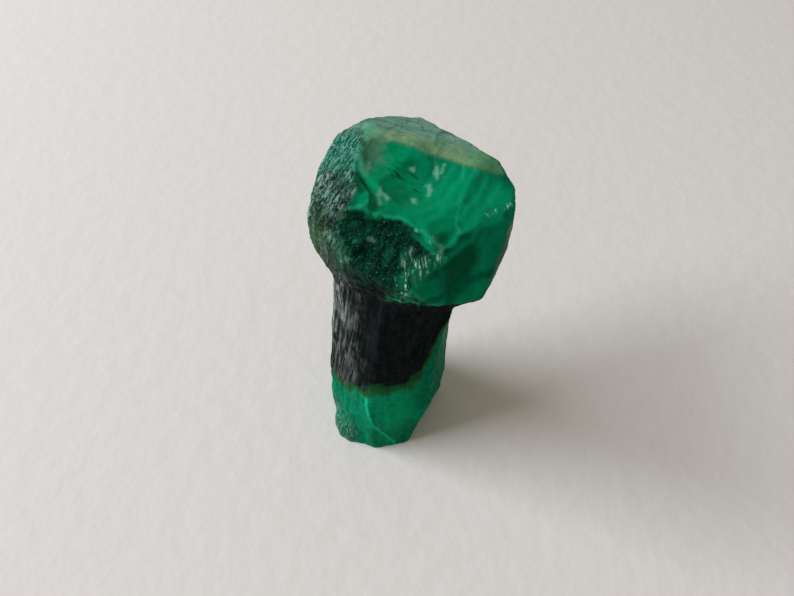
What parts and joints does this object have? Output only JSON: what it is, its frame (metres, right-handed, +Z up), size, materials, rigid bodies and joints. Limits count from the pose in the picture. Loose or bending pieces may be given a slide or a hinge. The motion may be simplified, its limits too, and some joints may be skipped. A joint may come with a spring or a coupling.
{
  "type": "raw emerald crystal",
  "caption": "Rough six-sided crystal of green beryl with a wide worn head, a dark waist and a broken foot on which it stands upright.",
  "frame": {"origin": "middle of the bounding box in plan, on the surface that the foot rests on", "axes": "+Z up along the prism from foot to head, -Y towards the side with the notch and the steep glassy facet, +X to that side's right"},
  "size_m": [0.0072, 0.0062, 0.0161],
  "materials": {
    "emerald": "glassy on fresh fractures, frosted and grooved on the old crystal faces"
  },
  "bodies": {
    "root": {"emerald_crystal": "emerald"}
  },
  "joints": []
}
